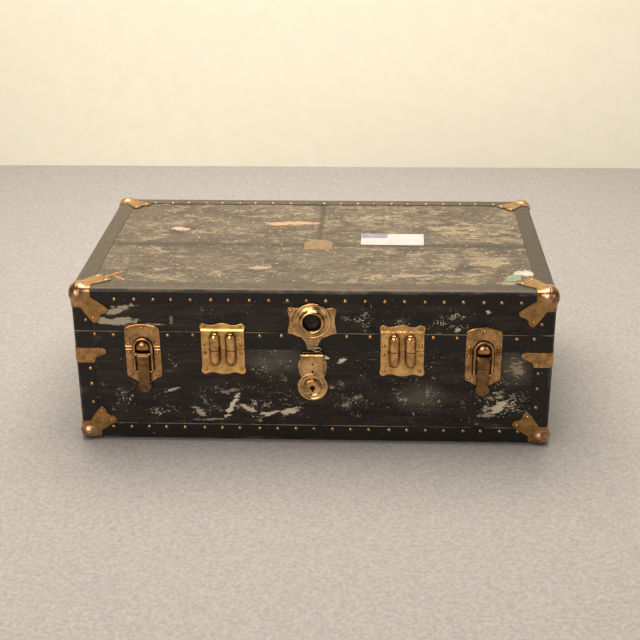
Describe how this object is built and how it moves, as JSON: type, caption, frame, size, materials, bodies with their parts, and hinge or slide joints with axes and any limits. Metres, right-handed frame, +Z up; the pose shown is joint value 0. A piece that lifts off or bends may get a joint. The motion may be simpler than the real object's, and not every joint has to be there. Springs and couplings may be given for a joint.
{
  "type": "cabin trunk",
  "caption": "Flat-topped cabin trunk: fibre-covered plywood box and hinged lid with bound edges, brass ball corners, draw bolts, dowels, a hasp lock, lid stays and end handles.",
  "frame": {"origin": "on the floor, at the middle of the shut trunk with its fittings and handles", "axes": "+X along the front to the right, +Y from the front to the hinges, +Z up"},
  "size_m": [0.952, 0.5604, 0.3279],
  "materials": {
    "plywood": "bare birch plywood edges",
    "fibre_covering": "dark brown vulcanised fibre, scuffed to tan",
    "lid_fibre_covering": "olive grey vulcanised fibre, rubbed through in streaks",
    "fibre_binding": "black-brown fibre strip, nailed",
    "lining_paper": "aged printed paper",
    "sheet_brass": "pressed sheet brass, tarnished",
    "corner_brass": "coppery pressed brass, worn bright on the ball",
    "steel_strip": "dulled tinned steel",
    "steel_pin": "drawn steel, a little rusty",
    "leather_grip": "stitched saddle leather"
  },
  "bodies": {
    "base": {"base_bottom_panel": "plywood", "base_front_panel": "plywood", "base_back_panel": "plywood", "base_left_panel": "plywood", "base_right_panel": "plywood", "base_covering": "fibre_covering", "base_lining": "lining_paper", "base_foot_binding": "fibre_binding", "base_corner_bindings": "fibre_binding", "base_corner_caps": "corner_brass", "base_corner_plates": "sheet_brass", "front_valance": "steel_strip", "side_valances": "steel_strip", "base_hinge_leaves": "sheet_brass", "drawbolt_keeper_plates": "sheet_brass", "drawbolt_pins": "steel_pin", "dowel_socket_plates": "sheet_brass", "lock_base_plate": "sheet_brass", "hasp_pin": "steel_pin", "stay_posts": "steel_strip", "handle_plates": "sheet_brass"},
    "lid": {"lid_top_panel": "plywood", "lid_front_panel": "plywood", "lid_back_panel": "plywood", "lid_left_panel": "plywood", "lid_right_panel": "plywood", "lid_covering": "lid_fibre_covering", "lid_lining": "lining_paper", "lid_top_binding": "fibre_binding", "lid_rim_band": "fibre_binding", "lid_corner_bindings": "fibre_binding", "lid_corner_caps": "corner_brass", "lid_hinge_leaves": "sheet_brass", "hinge_pins": "steel_pin", "drawbolt_catch_plates": "sheet_brass", "dowel_pin_plates": "sheet_brass", "dowel_pins": "steel_pin", "lock_lid_plate": "sheet_brass", "lock_receiver": "sheet_brass", "stay_studs": "steel_strip"},
    "left_stay": {"left_stay_arm": "steel_strip"},
    "right_stay": {"right_stay_arm": "steel_strip"},
    "left_lever": {"left_drawbolt_lever": "sheet_brass"},
    "right_lever": {"right_drawbolt_lever": "sheet_brass"},
    "left_loop": {"left_drawbolt_loop": "steel_pin"},
    "right_loop": {"right_drawbolt_loop": "steel_pin"},
    "hasp": {"hasp": "sheet_brass"},
    "left_handle": {"left_handle_bail": "steel_strip", "left_handle_grip": "leather_grip"},
    "right_handle": {"right_handle_bail": "steel_strip", "right_handle_grip": "leather_grip"}
  },
  "joints": [
    {"name": "lid_hinge", "type": "hinge", "parent": "base", "child": "lid", "pos_m": [0, 0.2757, 0.201], "axis": [-1, 0, 0], "range_deg": [0, 95]},
    {"name": "right_stay_swing", "type": "hinge", "parent": "base", "child": "right_stay", "pos_m": [0.4432, 0.21421, 0.15633], "axis": [-1, 0, 0], "range_deg": [0, 47.5]},
    {"name": "left_stay_swing", "type": "hinge", "parent": "base", "child": "left_stay", "pos_m": [-0.4432, 0.21421, 0.15633], "axis": [-1, 0, 0], "range_deg": [0, 47.5]},
    {"name": "left_lever_swing", "type": "hinge", "parent": "base", "child": "left_lever", "pos_m": [-0.325, -0.2717, 0.19], "axis": [-1, 0, 0], "range_deg": [0, 110]},
    {"name": "right_lever_swing", "type": "hinge", "parent": "base", "child": "right_lever", "pos_m": [0.325, -0.2717, 0.19], "axis": [-1, 0, 0], "range_deg": [0, 110]},
    {"name": "left_loop_swing", "type": "hinge", "parent": "left_lever", "child": "left_loop", "pos_m": [-0.325, -0.2717, 0.153], "axis": [-1, 0, 0], "range_deg": [-110, 0]},
    {"name": "right_loop_swing", "type": "hinge", "parent": "right_lever", "child": "right_loop", "pos_m": [0.325, -0.2717, 0.153], "axis": [-1, 0, 0], "range_deg": [-110, 0]},
    {"name": "hasp_swing", "type": "hinge", "parent": "base", "child": "hasp", "pos_m": [0, -0.2752, 0.193], "axis": [-1, 0, 0], "range_deg": [0, 180]},
    {"name": "left_handle_swing", "type": "hinge", "parent": "base", "child": "left_handle", "pos_m": [-0.468, 0.0018, 0.15], "axis": [0, 1, 0], "range_deg": [0, 100]},
    {"name": "right_handle_swing", "type": "hinge", "parent": "base", "child": "right_handle", "pos_m": [0.468, 0.0018, 0.15], "axis": [0, -1, 0], "range_deg": [0, 100]}
  ],
  "couplings": [
    {"joint": "right_stay_swing", "follows": "lid_hinge", "ratio": 0.5},
    {"joint": "left_stay_swing", "follows": "lid_hinge", "ratio": 0.5},
    {"joint": "left_loop_swing", "follows": "left_lever_swing", "ratio": -1},
    {"joint": "right_loop_swing", "follows": "right_lever_swing", "ratio": -1}
  ]
}
